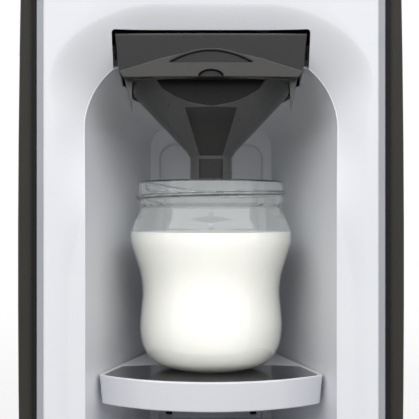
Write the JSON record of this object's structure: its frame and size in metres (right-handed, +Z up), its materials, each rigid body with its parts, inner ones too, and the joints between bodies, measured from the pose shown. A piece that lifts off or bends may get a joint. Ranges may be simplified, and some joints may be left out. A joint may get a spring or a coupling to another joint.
{
  "type": "baby formula maker",
  "caption": "Upright countertop machine that doses formula powder and warm water through a funnel into a bottle on a height-adjustable stand.",
  "frame": {"origin": "middle of the footprint, on the surface that the machine stands on", "axes": "+X to the right as the user faces the machine, +Y to the back, +Z up; the bay faces -Y"},
  "size_m": [0.168, 0.285, 0.33],
  "materials": {
    "white_plastic": "satin moulded ABS",
    "charcoal_plastic": "fine-grained moulded ABS",
    "black_trim": "polished black strip",
    "grey_trim": "satin grey strip",
    "bay_grey": "fine matt moulded ABS",
    "smoke_plastic": "polished dark moulding",
    "clear_plastic": "clear polished copolyester",
    "smoke_clear": "smoke-tinted clear plastic",
    "lid_plastic": "satin dark moulding",
    "button_plastic": "satin keycap",
    "display_clear": "clear acrylic window",
    "display_part": "display module",
    "circuit_board": "glass-fibre board",
    "switch_plastic": "moulded switch",
    "inner_plastic": "natural moulded nylon",
    "gear_plastic": "acetal",
    "steel": "plain steel",
    "aluminium": "die-cast",
    "silicone": "translucent silicone",
    "foot_rubber": "matt rubber",
    "cable": "black sleeved wires",
    "inlet_plastic": "black phenolic moulding"
  },
  "bodies": {
    "housing": {"front_shell": "white_plastic", "top_cover": "white_plastic", "side_panel_left": "charcoal_plastic", "side_panel_right": "charcoal_plastic", "base_plate": "charcoal_plastic", "tank_dock": "charcoal_plastic", "side_trims": "black_trim", "control_fascia": "black_trim", "bezel_trims": "grey_trim", "bay_liner": "bay_grey", "guide_panel": "bay_grey", "display_window": "display_clear", "display_module": "display_part", "control_board": "circuit_board", "power_board": "circuit_board", "tact_switches": "switch_plastic", "mixing_deck": "inner_plastic", "dosing_tray": "inner_plastic", "rear_bulkhead": "inner_plastic", "funnel_rails": "inner_plastic", "dock_socket": "inner_plastic", "water_nozzle": "inner_plastic", "water_pump": "inner_plastic", "heater_bracket": "inner_plastic", "base_screws": "steel", "dosing_axle": "steel", "gear_motor": "steel", "water_heater": "aluminium", "hot_water_tube": "silicone", "lift_tube": "silicone", "inlet_tube": "silicone", "hopper_seal": "silicone", "rubber_feet": "foot_rubber", "wiring_loom": "cable", "power_inlet": "inlet_plastic"},
    "stand": {"stand": "white_plastic", "stand_insert": "smoke_plastic", "stand_carriage": "inner_plastic"},
    "bottle": {"bottle": "clear_plastic"},
    "funnel": {"funnel": "smoke_plastic", "funnel_cover": "smoke_plastic"},
    "hopper": {"hopper": "smoke_clear", "lid_pin": "steel"},
    "hopper_lid": {"hopper_lid": "smoke_clear"},
    "stirrer": {"stirrer": "gear_plastic"},
    "dosing_wheel": {"dosing_wheel": "gear_plastic", "drive_dog": "gear_plastic"},
    "motor_pinion": {"motor_pinion": "gear_plastic"},
    "tank": {"water_tank": "clear_plastic", "tank_seal": "silicone", "tank_lid_pin": "steel", "valve_spring": "steel"},
    "tank_lid": {"tank_lid": "lid_plastic"},
    "valve_poppet": {"valve_poppet": "gear_plastic"},
    "button_power": {"button_power": "button_plastic"},
    "button_temperature": {"button_temperature": "button_plastic"},
    "button_less": {"button_less": "button_plastic"},
    "button_more": {"button_more": "button_plastic"},
    "button_formula": {"button_formula": "button_plastic"},
    "button_start": {"button_start": "button_plastic"}
  },
  "joints": [
    {"name": "stand_height", "type": "slide", "parent": "housing", "child": "stand", "axis": [0, 0, 1], "range_m": [-0.022, 0]},
    {"name": "bottle_removal", "type": "slide", "parent": "stand", "child": "bottle", "axis": [0, -1, 0], "range_m": [0, 0.13]},
    {"name": "funnel_removal", "type": "slide", "parent": "housing", "child": "funnel", "axis": [0, -1, 0], "range_m": [0, 0.085]},
    {"name": "hopper_removal", "type": "slide", "parent": "housing", "child": "hopper", "axis": [0, 0, 1], "range_m": [0, 0.1]},
    {"name": "hopper_lid_hinge", "type": "hinge", "parent": "hopper", "child": "hopper_lid", "pos_m": [0, -0.007, 0.319], "axis": [-1, 0, 0], "range_deg": [0, 95]},
    {"name": "dosing_spin", "type": "hinge", "parent": "housing", "child": "dosing_wheel", "pos_m": [0, -0.0685, 0.219], "axis": [0, 0, 1], "continuous": true},
    {"name": "stirrer_spin", "type": "hinge", "parent": "hopper", "child": "stirrer", "pos_m": [0, -0.0685, 0.219], "axis": [0, 0, 1], "continuous": true},
    {"name": "pinion_spin", "type": "hinge", "parent": "housing", "child": "motor_pinion", "pos_m": [0, -0.0135, 0.219], "axis": [0, 0, 1], "continuous": true},
    {"name": "tank_removal", "type": "slide", "parent": "housing", "child": "tank", "axis": [0, 0, 1], "range_m": [0, 0.08]},
    {"name": "tank_lid_hinge", "type": "hinge", "parent": "tank", "child": "tank_lid", "pos_m": [0, 0.062, 0.2916], "axis": [1, 0, 0], "range_deg": [0, 95]},
    {"name": "valve_lift", "type": "slide", "parent": "tank", "child": "valve_poppet", "axis": [0, 0, 1], "range_m": [0, 0.003], "stiffness_N_per_m": 120, "springref_m": -0.002, "deforming": ["valve_spring"]},
    {"name": "button_power_press", "type": "slide", "parent": "housing", "child": "button_power", "axis": [0, 1, 0], "range_m": [0, 0.0012], "stiffness_N_per_m": 900, "springref_m": -0.0003},
    {"name": "button_temperature_press", "type": "slide", "parent": "housing", "child": "button_temperature", "axis": [0, 1, 0], "range_m": [0, 0.0012], "stiffness_N_per_m": 900, "springref_m": -0.0003},
    {"name": "button_less_press", "type": "slide", "parent": "housing", "child": "button_less", "axis": [0, 1, 0], "range_m": [0, 0.0012], "stiffness_N_per_m": 900, "springref_m": -0.0003},
    {"name": "button_more_press", "type": "slide", "parent": "housing", "child": "button_more", "axis": [0, 1, 0], "range_m": [0, 0.0012], "stiffness_N_per_m": 900, "springref_m": -0.0003},
    {"name": "button_formula_press", "type": "slide", "parent": "housing", "child": "button_formula", "axis": [0, 1, 0], "range_m": [0, 0.0012], "stiffness_N_per_m": 900, "springref_m": -0.0003},
    {"name": "button_start_press", "type": "slide", "parent": "housing", "child": "button_start", "axis": [0, 1, 0], "range_m": [0, 0.0012], "stiffness_N_per_m": 900, "springref_m": -0.0003}
  ],
  "couplings": [
    {"joint": "pinion_spin", "follows": "dosing_spin", "ratio": -4.5},
    {"joint": "stirrer_spin", "follows": "dosing_spin", "ratio": 1}
  ]
}
